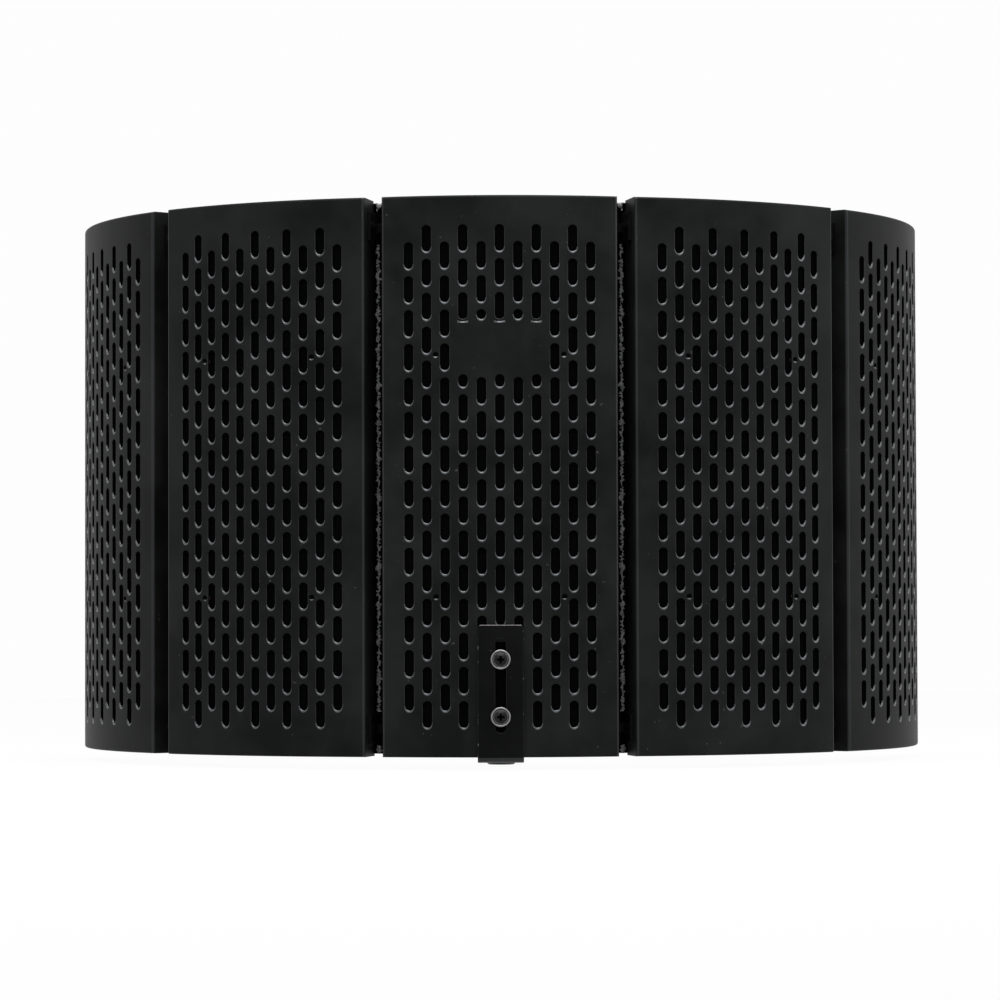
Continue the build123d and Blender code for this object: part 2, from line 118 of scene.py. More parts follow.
WASHER_PROFILE = (  # radius, and height over the bracket
    (2.2, 0.0), (5.2, 0.0), (5.5, 0.3), (5.5, 0.75), (5.4, 1.15), (5.15, 1.45), (4.85, 1.58), (4.55, 1.5),
    (4.25, 1.2), (4.02, 0.85), (3.92, 0.6), (2.2, 0.6),
)
WASHER_FACETS = 72

# ---- Dimples ----
DIMPLE_ACROSS = 70.0
DIMPLE_RISE = 65.7
DIMPLE_RADIUS = 1.6
DIMPLE_DEPTH = 0.5
DIMPLE_FULLNESS = 0.8  # 0.5 gives an ellipse
DIMPLE_CUTS = 7
DIMPLE_MARGIN = 1.7  # how far past a dimple the sheet's faces are divided
DIMPLE_FLOOR = 0.02  # depth from which a face belongs to a dimple

# ---- Foam ----
FOAM_INSET = 1.2
VALLEY_RADIUS = 192.0
PYRAMID_HEIGHT = 20.0
PYRAMID_PITCH = 20.0
PYRAMID_COLUMNS = 6
FOAM_FLAT = 1.5
FOAM_ROUNDING = 0.9
FOAM_SKIN = 2.5  # depth of the skin behind the slots, which is painted near-black as shade
FOAM_CUTS_ACROSS = PYRAMID_COLUMNS * 18
FOAM_CUTS_UP = 288
FOAM_CUTS_DEEP = 18
FOAM_COARSE = 12  # cuts of the pyramids to one of the skin
PORE_NOISE = ((0.55, 0.6), (1.7, 0.8))  # frequency per millimetre, and share
PORE_DEPTH = 0.34
NOISE_SHIFT = (31.7, 17.3, 5.9)  # from one pad to the next
SWELL_FREQUENCY = 0.06
SWELL_DEPTH = 0.35
FOAM_SINK = 0.1
LIP_GAP = 0.15  # from a lip to the plane halfway between two panels
LIP_FRONT = 2.8  # before the hinge axis
LIP_FRONT_DEPTH = 0.1  # what counts as a lip's front
LIP_PAST_HINGE = 0.6
LIP_OPEN_LEAN = 12.8  # degrees, for the folds' lower and upper limits
LIP_CLOSE_LEAN = 18.5
LIP_PAST_END = 9.1  # hinge's middle to the nearest end of a lip
LIP_ROOT = 1.0  # how far a lip reaches into the pad
LIP_LEAST = 0.2  # distance past the pad's side from which a corner is on a lip
HINGE_BACK = 3.7  # behind the hinges, from their axes
HINGE_BACK_END = 7.0
HINGE_BACK_OVERLAP = 2  # of the lips behind a hinge with those beside it
LIP_SPACING = 0.8
RIDGE_SPACING = 0.35
LIP_SPACING_UP = 0.7
RIDGE_ACROSS = -3.6  # crest of the ridge on a lip's front, from the hinge axis
RIDGE_WIDTH = 1.1
RIDGE_HEIGHT = 0.8
RIDGE_WANDER = 0.45
RIDGE_WAVE = (0.9, 1.3, 2.3)
CREST_SHARES = (0.55, 0.35, 0.7)  # of the ridge's width, in half its crest painted light grey for light between the pads: steady, frayed, at a tuft
CREST_WAVE = (1.9, 2.1, 0.7)
TUFT_HEIGHT = 1.0
TUFT_SPREAD = 1.5
HINGED_SIDES = {"left_outer": (1,), "right_outer": (-1,)}  # the other panels have a neighbour on both sides
LIT_RIDGE_SIDES = {"left_inner": 1, "right_inner": -1}

# ---- Stand and microphone thread ----
POST_RADIUS = 7.94
POST_TOP = 28.5
POST_PITCH = 0.94
POST_CHAMFER = 0.8
POST_THREAD_DEPTH = 0.5
POST_CAP = 0.6
RELIEF_TOP = 15.7
RELIEF_RADIUS = 7.24
STAND_HOLE_RADIUS = 4.05
STAND_HOLE_DEPTH = 16.0
STAND_HOLE_PITCH = 1.59
STAND_HOLE_CHAMFER = 0.7
STAND_THREAD_DEPTH = 0.75
STAND_THREAD_END = 0.2
THREAD_START = 0.15  # share of its depth with which a thread begins
NUT_BASE = 6.5
NUT_HEIGHT = 8.0
NUT_ACROSS = 24.0
NUT_FACE_SHARE = 0.96  # width of its round faces over its flats
NUT_CONE_SLOPE = 0.5
NUT_LEAST_DROP = 0.12
NUT_CHAMFER = 0.5
NUT_PLAY = 0.05
ROUND_FACETS = 96

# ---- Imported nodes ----
WELD_DISTANCE = 0.002
FLAT_ANGLE = 0.4  # degrees between faces that are joined to one
EDGE_ANGLE = 35.0  # degrees from which an edge is rounded
RUBBED_SLOPES = (-0.95, -0.2)  # upward part of the normals of the bracket's faces that are rubbed

# ---- Wear and a painted highlight on the bracket, and painted shade at the crosses in its screws: where they start and are full, in metres ----
CHIPPED_SIDES = (0.0110, 0.0118)
TOP_HIGHLIGHT = (0.0780, 0.0784)
CROSS_ARM = (0.0005, 0.0008)
CROSS_END = (0.0019, 0.0022)


# ---- Meshes ----
class Patchwork:
    """Faces collected from grids and outlines of points; corners at one place become one vertex. A face's
    look is the number of its material."""

    def __init__(self):
        self.points = []
        self.faces = []
        self.looks = []

    def outline(self, points, look=0):
        first = len(self.points)
        self.points.extend(tuple(point) for point in points)
        self.faces.append(tuple(range(first, len(self.points))))
        self.looks.append(look)

    def grid(self, rows, is_closed=False, look=0):
        """Quads between rows of points of one length; a closed grid joins each row's end to its start."""
        first, width = len(self.points), len(rows[0])
        for row in rows:
            self.points.extend(tuple(point) for point in row)
        for r in range(len(rows) - 1):
            for c in range(width if is_closed else width - 1):
                after = (c + 1) % width
                low, high = first + r * width, first + (r + 1) * width
                self.faces.append((low + c, low + after, high + after, high + c))
                self.looks.append(look)

    def to_bmesh(self):
        mesh = bpy.data.meshes.new("patchwork")
        mesh.from_pydata(self.points, [], self.faces)
        mesh.polygons.foreach_set("material_index", self.looks)
        whole = bmesh.new()
        whole.from_mesh(mesh)
        bpy.data.meshes.remove(mesh)
        bmesh.ops.remove_doubles(whole, verts=whole.verts, dist=SAME_PLACE)
        bmesh.ops.recalc_face_normals(whole, faces=whole.faces)
        return whole


def finished(whole, name, sharp_angle=40.0):
    """Object from a bmesh in millimetres, smooth but for edges past the sharp angle."""
    bmesh.ops.scale(whole, vec=(MM, MM, MM), verts=whole.verts)
    mesh = bpy.data.meshes.new(name)
    whole.to_mesh(mesh)
    whole.free()
    mesh.shade_smooth()
    mesh.set_sharp_from_angle(angle=radians(sharp_angle))
    piece = bpy.data.objects.new(name, mesh)
    bpy.context.scene.collection.objects.link(piece)
    return piece


def weigh_normals(piece):
    """Shading that keeps large flat faces flat beside small rounded ones."""
    weighted = piece.modifiers.new("weighted_normals", "WEIGHTED_NORMAL")
    weighted.keep_sharp = True
    weighted.weight = 100


def polar(radius, angle, across=0.0):
    """Plan point at a radius and heading in degrees, moved across that heading."""
    turn = radians(angle)
    return radius * sin(turn) + across * cos(turn), -radius * cos(turn) + across * sin(turn)


def next_panel(place, side, fold):
    """Place of the panel on one side of another, folded from it about their hinge axis."""
    x, y, heading = place
    turned = heading + side * fold
    reach = OUTER_RADIUS - HINGE_DEPTH
    axis_x, axis_y = polar(reach, heading + side * HALF_ANGLE, side * HINGE_HALF_GAP)
    edge_x, edge_y = polar(reach, turned - side * HALF_ANGLE, -side * HINGE_HALF_GAP)
    return x + axis_x - edge_x, y + axis_y - edge_y, turned


PLACES = {"center": (0.0, CENTRE_OF_CURVE, 0.0)}
BODIES = {"center": "center_panel"}
for side, hand in ((-1, "left"), (1, "right")):
    PLACES[f"{hand}_inner"] = next_panel(PLACES["center"], side, INNER_FOLD)
    PLACES[f"{hand}_outer"] = next_panel(PLACES[f"{hand}_inner"], side, OUTER_FOLD)
    BODIES[f"{hand}_inner"] = f"{hand}_inner_wing"
    BODIES[f"{hand}_outer"] = f"{hand}_outer_wing"


def stand(whole, place):
    """Moves a bmesh in a panel's own frame to where that panel stands."""
    x, y, heading = place
    move = Matrix.Translation((x, y, PANEL_BASE)) @ Matrix.Rotation(radians(heading), 4, "Z")
    bmesh.ops.transform(whole, matrix=move, verts=whole.verts)


# ---- Panel sheet: laid out flat, as (along the curve, depth behind the outer face, height), then bent ----
def bend(whole):
    """Bends flat layout onto the panel's curve."""
    for corner in whole.verts:
        along, depth, height = corner.co
        x, y = polar(OUTER_RADIUS - depth, degrees(along / OUTER_RADIUS))
        corner.co = (x, y, height)


def flat_plate(sheet, along, heights, look=PAINTED):
    """Both faces of a plain stretch of the sheet. The look is that of the outer face."""
    sheet.grid([[(a, 0, h) for a in along] for h in heights], look=look)
    sheet.grid([[(a, SHEET, h) for a in along] for h in heights])


def slot_ring(low, high, half_width, offset, lip, flatness=0.0):
    """Outline round a slot, offset from it, with as many points as a cell's border. lip is the offset at
    its lower end, which is round, or square where flatness is 1."""
    reach = (high - low) / 2 - half_width
    centre = (low + high) / 2
    radius = half_width + offset
    ups = [2 * reach * step / RING_STRAIGHT for step in range(RING_STRAIGHT)]
    ring = [(radius, centre - reach + up) for up in ups]
    for step in range(RING_ARC):
        turn = pi * step / RING_ARC
        ring.append((radius * cos(turn), centre + reach + radius * sin(turn)))
    ring += [(-radius, centre + reach - up) for up in ups]
    for step in range(RING_ARC):
        turn = pi + pi * step / RING_ARC
        square = 1 + flatness * (1 / max(abs(cos(turn)), abs(sin(turn))) - 1)
        ring.append((radius * cos(turn) * square, centre - reach + (half_width + lip) * sin(turn) * square))
    return ring


def cell_border(centre):
    """Border of a cell, starting beside the lower end of a slot's straight side."""
    half, half_up = COLUMN_PITCH / 2, ROW_PITCH / 2
    up = [centre - half_up + ROW_PITCH * step / CELL_STEPS_UP for step in range(CELL_STEPS_UP + 1)]
    across = [half - COLUMN_PITCH * step / CELL_STEPS_ACROSS for step in range(1, CELL_STEPS_ACROSS)]
    border = [(half, z) for z in up]
    border += [(x, centre + half_up) for x in across]
    border += [(-half, z) for z in reversed(up)]
    border += [(-x, centre - half_up) for x in across]
    shift = (CELL_STEPS_UP - RING_STRAIGHT) // 2
    return border[shift:] + border[:shift]


def slot_cell(
    sheet, along, centre, low, high, half_width=SLOT_WIDTH / 2, has_bar=False, rim=RIM_WIDTH, look=PAINTED,
):
    """One cell of the sheet with a slot in it, whose rim is rolled in, and perhaps a pressed bar under the
    slot. The look is that of the sheet round the rim."""
    border = cell_border(centre)
    rings = [[(along + x, 0, z) for x, z in border]]
    lip = rim * (1 if has_bar else LOWER_LIP)
    if has_bar:
        bar_start, bar_end = len(border) - RING_ARC + BAR_MARGIN, len(border) - BAR_MARGIN
        for share, drop, depth in BAR_RINGS:
            across, down = rim + BAR_SPREAD_ACROSS * share, lip + drop + BAR_SPREAD_UP * share
            ring = slot_ring(low, high, half_width, across, down, flatness=1.0)
            rings.append([
                (along + x, depth if bar_start < step < bar_end else 0, z)
                for step, (x, z) in enumerate(ring)
            ])
    rolled = len(rings)
    for step in range(RIM_STEPS + 1):
        turn = pi / 2 * step / RIM_STEPS
        ring = slot_ring(low, high, half_width, rim * (1 - sin(turn)), lip * (1 - sin(turn)))
        rings.append([(along + x, RIM_DEPTH * (1 - cos(turn)), z) for x, z in ring])
    edge = slot_ring(low, high, half_width, 0, 0)
    rings.append([(along + x, SHEET, z) for x, z in edge])
    rings.append([(along + x, SHEET, z) for x, z in border])
    for number, (first, second) in enumerate(zip(rings[:rolled], rings[1:rolled + 1])):
        if number == 1:  # from the bar's lower edge up to its deepest line
            sheet.grid([ring[bar_start:bar_end + 1] for ring in (first, second)], look=BRIGHT)
            sheet.grid([ring[bar_end:] + ring[:bar_start + 1] for ring in (first, second)], look=look)
        else:
            sheet.grid([first, second], is_closed=True, look=look)
    bright = rolled + RIM_BRIGHT_STEPS
    sides = ((RING_STRAIGHT, FOLDED), (RING_ARC, PAINTED), (RING_STRAIGHT, FOLDED))
    first = 0
    for count, part_look in (*sides, (RING_ARC, FOLDED if has_bar else BRIGHT)):
        span = [step % len(border) for step in range(first, first + count + 1)]
        parts = [[ring[step] for step in span] for ring in rings]
        sheet.grid(parts[rolled:bright + 1], look=part_look)
        # past these steps the rim is painted near-black as shade, but at a lower end that is rubbed bright
        sheet.grid(parts[bright:-2], look=BRIGHT if part_look == BRIGHT else SHADED)
        first += count
    # the slot's wall is painted near-black as shade
    sheet.grid(rings[-3:-1], is_closed=True, look=SHADED)
    sheet.grid(rings[-2:], is_closed=True)


def column_slots(column, has_bare_places):
    """Cells of one column from the bottom up: middle of the cell, lowest and highest point of its slot, and
    whether it has a bar."""
    blank_low = MIDDLE + BLANK_BOTTOM_ROW * ROW_PITCH
    blank_high = MIDDLE + BLANK_TOP_ROW * ROW_PITCH
    reach = ROW_REACH if column % 2 == 0 else ROW_REACH - 0.5
    cells = []
    for step in range(int(2 * reach) + 1):
        centre = MIDDLE + (step - reach) * ROW_PITCH
        low, high = centre - SLOT_LENGTH / 2, centre + SLOT_LENGTH / 2
        if has_bare_places and abs(column) <= LANDING_COLUMN_REACH and centre < LANDING_HEIGHT:
            continue
        is_beside = has_bare_places and abs(column) <= BLANK_COLUMN_REACH
        has_bar = is_beside and column % 2 == 0 and blank_high < low < blank_high + 2 * BLANK_LAND
        if is_beside and low < blank_high + BLANK_LAND and high > blank_low:
            if centre >= (blank_low + blank_high) / 2:
                low = blank_high + BLANK_LAND
            else:
                high = min(high, blank_low - BLANK_SILL)
            if high - low < SLOT_WIDTH:
                continue
        cells.append((centre, low, high, has_bar))
    return cells


def column_strip(sheet, column, has_bare_places):
    """A column of cells, with plain sheet where it has no slots."""
    along = column * COLUMN_PITCH
    cuts = range(CELL_STEPS_ACROSS + 1)
    lines = [along + COLUMN_PITCH * (cut / CELL_STEPS_ACROSS - 0.5) for cut in cuts]
    field_low = MIDDLE - (ROW_REACH + 0.5) * ROW_PITCH
    steps = round((2 * ROW_REACH + 1) * CELL_STEPS_UP)
    is_cell = [False] * steps
    for centre, low, high, has_bar in column_slots(column, has_bare_places):
        first = round((centre - ROW_PITCH / 2 - field_low) / STEP_UP)
        is_cell[first:first + CELL_STEPS_UP] = [True] * CELL_STEPS_UP
        slot_cell(sheet, along, centre, low, high, has_bar=has_bar)
    for height in SCREW_HEIGHTS if has_bare_places and column == 0 else ():
        first = max(0, round((height - field_low) / STEP_UP) - CELL_STEPS_UP // 2)
        is_cell[first:first + CELL_STEPS_UP] = [True] * CELL_STEPS_UP
        centre = field_low + (first + CELL_STEPS_UP / 2) * STEP_UP
        low = height - SCREW_HOLE_RADIUS - SCREW_HOLE_STRAIGHT
        high = height + SCREW_HOLE_RADIUS + SCREW_HOLE_STRAIGHT
        # the sheet round each screw hole, behind the washers, is painted near-black as shade
        slot_cell(sheet, along, centre, low, high, SCREW_HOLE_RADIUS, rim=SCREW_HOLE_RIM, look=SHADED)
    for step in range(steps):
        if not is_cell[step]:
            heights = [field_low + step * STEP_UP, field_low + (step + 1) * STEP_UP]
            # the bare sheet behind the bracket, seen through its slot, is painted near-black as shade
            is_shaded_landing = has_bare_places and column == 0 and heights[1] < LANDING_HEIGHT
            flat_plate(sheet, lines, heights, look=SHADED if is_shaded_landing else PAINTED)


def bend_lines(edge):
    """Lines across a fold towards an edge: (position, depth) outside and inside the sheet."""
    turns = [0, asin(BEND_INSIDE / BEND_OUTSIDE), *(radians(turn) for turn in BEND_TURNS), pi / 2]
    start = edge - BEND_OUTSIDE
    outside = [(start + BEND_OUTSIDE * sin(turn), BEND_OUTSIDE * (1 - cos(turn))) for turn in turns]
    inside = [(start + BEND_INSIDE * sin(turn), SHEET + BEND_INSIDE * (1 - cos(turn))) for turn in turns]
    return outside, inside


def folded_sides(sheet, along, heights):
    """Folds and flanges all round the face. along and heights are the face's lines, from the middle out to
    where the folds start, for the positive side and the upper end; the others mirror them."""
    slit = SHEET + BEND_OUTSIDE
    inner = HALF_ARC - SHEET
    inner_slit = inner - CORNER_RELIEF
    depths = [slit, *FLANGE_LINES, TRAY_DEPTH - FREE_EDGE_ROUND]
    side_outside, side_inside = bend_lines(HALF_ARC)
    end_outside, end_inside = bend_lines(MIDDLE)
    corner_depth = FREE_EDGE_ROUND * (1 - cos(pi / 4))
    free_edge = [
        (0, TRAY_DEPTH - FREE_EDGE_ROUND),
        (corner_depth, TRAY_DEPTH - corner_depth),
        (FREE_EDGE_ROUND, TRAY_DEPTH),
        (SHEET - FREE_EDGE_ROUND, TRAY_DEPTH),
        (SHEET - corner_depth, TRAY_DEPTH - corner_depth),
        (SHEET, TRAY_DEPTH - FREE_EDGE_ROUND),
    ]
    ups = sorted(set([-h for h in heights] + heights))
    spans = sorted(set([-a for a in along] + along))
    for side in (-1, 1):
        for outer_lines, end_lines in ((side_outside, end_outside), (side_inside, end_inside)):
            lower_lines = [(-h, d) for h, d in reversed(end_lines)]
            bent_up = lower_lines + [(h, outer_lines[0][1]) for h in ups[1:-1]] + end_lines
            sheet.grid([
                [(side * s, max(d, e) if abs(h) > ups[-1] - CLOSE else d, MIDDLE + h) for h, e in bent_up]
                for s, d in outer_lines
            ], look=FOLDED)
            s = outer_lines[-1][0]
            sheet.grid([[(side * s, d, MIDDLE + h) for h, _ in bent_up] for d in (BEND_OUTSIDE, slit)])
        # the flange past the slits, from end to end of the panel
        full = [-MIDDLE] + ups + [MIDDLE]
        sheet.grid([[(side * HALF_ARC, d, MIDDLE + h) for h in ups] for d in depths])
        sheet.grid([[(side * inner, d, MIDDLE + h) for h in ups] for d in depths])
        for end in (-1, 1):
            for lines, s in ((end_outside, HALF_ARC), (end_inside, inner)):
                line = [(side * s, slit, MIDDLE + end * h) for h, _ in lines]
                if s != HALF_ARC:
                    line.append((side * s, slit, MIDDLE + end * MIDDLE))
                corners = [(side * s, depths[1], MIDDLE + end * h) for h in (MIDDLE, ups[-1])]
                sheet.outline(line + corners)
                sheet.grid([
                    [(side * s, d, MIDDLE + end * h) for h in (ups[-1], MIDDLE)] for d in depths[1:]
                ])
            edge = MIDDLE + end * MIDDLE
            sheet.outline(
                [(side * s, slit, edge) for s, _ in side_outside[1:]]
                + [(side * HALF_ARC, depths[1], edge), (side * inner, depths[1], edge)]
            )
            sheet.grid([[(side * s, d, edge) for s in (HALF_ARC, inner)] for d in depths[1:]])
            sheet.outline([(side * (HALF_ARC - inset), d, edge) for inset, d in free_edge])
            # the slit between the flanges
            sheet.outline(
                [(side * inner_slit, slit, edge)]
                + [(side * s, slit, edge) for s, _ in side_outside[:2]]
                + [(side * s, slit, edge - end * SHEET) for s, _ in reversed(side_inside)]
                + [(side * inner_slit, slit, edge - end * SHEET)]
            )
            sheet.grid([
                [(side * inner_slit, d, edge - end * inset) for inset in (0, SHEET)] for d in depths
            ])
            sheet.outline([(side * inner_slit, d, edge - end * inset) for inset, d in free_edge])
        sheet.grid([[(side * (HALF_ARC - inset), d, MIDDLE + h) for h in full] for inset, d in free_edge])
    faces = ((end_outside, side_outside, 0), (end_inside, side_inside, SHEET))
    for end in (-1, 1):
        for end_lines, side_lines, inset in faces:
            sheet.grid([[(a, d, MIDDLE + end * h) for a in spans] for h, d in end_lines])
            across = [-s for s, _ in reversed(side_lines)] + spans[1:-1] + [s for s, _ in side_lines]
            edge = MIDDLE + end * (MIDDLE - inset)
            sheet.grid([[(a, d, edge) for a in across] for d in (BEND_OUTSIDE, slit)])
            sheet.grid([[(a, d, edge) for a in spans[1:-1]] for d in depths])
        sheet.grid([
            [(a, d, MIDDLE + end * (MIDDLE - inset)) for a in spans[1:-1]] for inset, d in free_edge
        ])


def press_dimples(whole):
    """Shallow round dents in the outer face over the foam studs."""
    for across in (-DIMPLE_ACROSS / 2, DIMPLE_ACROSS / 2):
        for rise in (-DIMPLE_RISE, DIMPLE_RISE):
            middle = Vector((across, 0, MIDDLE + rise))
            near = [
                face for face in whole.faces
                if all(abs(corner.co.y) < CLOSE for corner in face.verts)
                and (face.calc_center_median() - middle).length < DIMPLE_RADIUS + DIMPLE_MARGIN
            ]
            edges = {edge for face in near for edge in face.edges}
            bmesh.ops.subdivide_edges(whole, edges=list(edges), cuts=DIMPLE_CUTS, use_grid_fill=True)
            for corner in whole.verts:
                if abs(corner.co.y) < CLOSE:
                    share = (corner.co - middle).length / DIMPLE_RADIUS
                    if share < 1:
                        corner.co.y = DIMPLE_DEPTH * (1 - share**2) ** DIMPLE_FULLNESS
            # the upper part of each dimple is painted near-black as shade; its lower part is rubbed bright
            for face in whole.faces:
                centre = face.calc_center_median()
                if DIMPLE_FLOOR < centre.y <= DIMPLE_DEPTH and (centre - middle).length < DIMPLE_RADIUS:
                    face.material_index = BRIGHT if centre.z < middle.z - DIMPLE_RADIUS / 2 else SHADED


def panel_sheet(has_bare_places):
    """A panel's folded, slotted sheet as a bmesh in the panel's own frame."""
    sheet = Patchwork()
    for column in range(-COLUMN_REACH, COLUMN_REACH + 1):
        column_strip(sheet, column, has_bare_places)
    field_side = (COLUMN_REACH + 0.5) * COLUMN_PITCH
    field_top = (ROW_REACH + 0.5) * ROW_PITCH
    slit_edge = HALF_ARC - SHEET - CORNER_RELIEF
    margin_along = [field_side, (field_side + slit_edge) / 2, slit_edge, HALF_ARC - BEND_OUTSIDE]
    margin_up = [field_top, (field_top + MIDDLE) / 2, MIDDLE - BEND_OUTSIDE]
    step_along = COLUMN_PITCH / CELL_STEPS_ACROSS
    steps_along, steps_up = round(2 * field_side / step_along), round(2 * field_top / STEP_UP)
    field_along = [-field_side + step_along * step for step in range(steps_along + 1)]
    field_up = [-field_top + STEP_UP * step for step in range(steps_up + 1)]
    all_along = [-a for a in reversed(margin_along)] + field_along[1:-1] + margin_along
    for side in (-1, 1):
        flat_plate(sheet, [side * a for a in margin_along], [MIDDLE + h for h in field_up])
        flat_plate(sheet, all_along, [MIDDLE + side * h for h in margin_up])
    all_up = [-h for h in reversed(margin_up)] + field_up[1:-1] + margin_up
    folded_sides(sheet, [a for a in all_along if a >= 0], [h for h in all_up if h >= 0])
    whole = sheet.to_bmesh()
    press_dimples(whole)
    bend(whole)
    return whole


# ---- Foam ----
def smooth_least(a, b, rounding):
    """The lesser of two heights, with the ridge between them rounded."""
    blend = np.clip(0.5 + 0.5 * (b - a) / rounding, 0, 1)
    return b * (1 - blend) + a * blend - rounding * blend * (1 - blend)


def uneven(height, frequency, sway, sway_frequency):
    """Wave along a height, between -1 and 1, whose length varies."""
    return sin(frequency * height + sway * sin(sway_frequency * height))


def lit_ridge_shape(height):
    """For the ridge on a lip's front: its middle, half the width of its crest painted light grey for light
    between the pads, and its rise.
    """
    off = (height - MIDDLE) % PYRAMID_PITCH - PYRAMID_PITCH / 2
    tuft = exp(-(off / TUFT_SPREAD) ** 2)
    middle = RIDGE_ACROSS + RIDGE_WANDER * uneven(height, *RIDGE_WAVE)
    steady, frayed, tufted = CREST_SHARES
    half = RIDGE_WIDTH * (steady + frayed * uneven(height, *CREST_WAVE) + tufted * tuft)
    return middle, half, RIDGE_HEIGHT + TUFT_HEIGHT * tuft


def is_front(inward):
    """Whether a place on a lip, so far inwards from the hinge axis, is on its front."""
    return inward < LIP_FRONT_DEPTH - LIP_FRONT


def foam_strip(pad, side, corners, low, high, has_lit_ridge):
    """Upright strip on the pad's side, with corners (towards the neighbour, inwards) from the hinge axis.
    Where it has a lit ridge, a ridge with tufts runs up its front, which shows between the panels; the
    ridge's crest is painted light grey for light between the pads."""
    profile = []
    for first, second in zip(corners, corners[1:] + corners[:1]):
        spacing = RIDGE_SPACING if has_lit_ridge and is_front(max(first[1], second[1])) else LIP_SPACING
        count = max(1, round(dist(first, second) / spacing))
        for step in range(count):
            profile.append([a + (b - a) * step / count for a, b in zip(first, second)])
    count = max(2, round((high - low) / LIP_SPACING_UP))
    rows = []
    edges = []
    for step in range(count + 1):
        height = low + (high - low) * step / count
        middle, half, rise = lit_ridge_shape(height)
        edges.append((middle, half))
        row = []
        for x, inward in profile:
            lift = rise * exp(-((x - middle) / RIDGE_WIDTH) ** 2) if has_lit_ridge and is_front(inward) else 0
            reach = OUTER_RADIUS - HINGE_DEPTH - inward + lift
            row.append((*polar(reach, side * HALF_ANGLE, side * (HINGE_HALF_GAP + x)), height))
        rows.append(row)
    for near, far, (middle, half) in zip(rows, rows[1:], edges):
        for first, (x, inward) in enumerate(profile):
            after = (first + 1) % len(profile)
            # the crest is painted light grey for light between the pads; the rest of the strip is painted
            # near-black as shade
            is_lit_crest = has_lit_ridge and is_front(inward) and abs(x - middle) < half
            look = LIT_CREST if is_lit_crest else SHADED_SKIN
            pad.grid([[near[first], near[after]], [far[first], far[after]]], look=look)
    pad.outline(rows[0], look=SHADED_SKIN)
    pad.outline(rows[-1], look=SHADED_SKIN)


def foam_lips(pad, side, has_lit_ridge):
    """Strips that close the gap beside the pad: before the hinge axis where there is no hinge, behind it
    where there is one."""
    root = -HINGE_HALF_GAP - FOAM_INSET - LIP_ROOT
    before = [
        (root, -LIP_FRONT),
        (-LIP_GAP - LIP_FRONT * tan(radians(LIP_OPEN_LEAN)), -LIP_FRONT),
        (-LIP_GAP, 0),
        (-LIP_GAP - LIP_PAST_HINGE * tan(radians(LIP_CLOSE_LEAN)), LIP_PAST_HINGE),
        (root, LIP_PAST_HINGE),
    ]
    behind = [
        (root, HINGE_BACK),
        (-LIP_GAP - HINGE_BACK * tan(radians(LIP_CLOSE_LEAN)), HINGE_BACK),
        (-LIP_GAP - HINGE_BACK_END * tan(radians(LIP_CLOSE_LEAN)), HINGE_BACK_END),
        (root, HINGE_BACK_END),
    ]
    lower, upper = HINGE_END, PANEL_HEIGHT - HINGE_END
    foam_strip(pad, side, before, FOAM_INSET, lower - LIP_PAST_END, has_lit_ridge)
    foam_strip(pad, side, before, lower + LIP_PAST_END, upper - LIP_PAST_END, has_lit_ridge)
    foam_strip(pad, side, before, upper + LIP_PAST_END, PANEL_HEIGHT - FOAM_INSET, has_lit_ridge)
    for middle in (lower, upper):
        low = middle - LIP_PAST_END - HINGE_BACK_OVERLAP
        high = middle + LIP_PAST_END + HINGE_BACK_OVERLAP
        foam_strip(pad, side, behind, low, high, False)


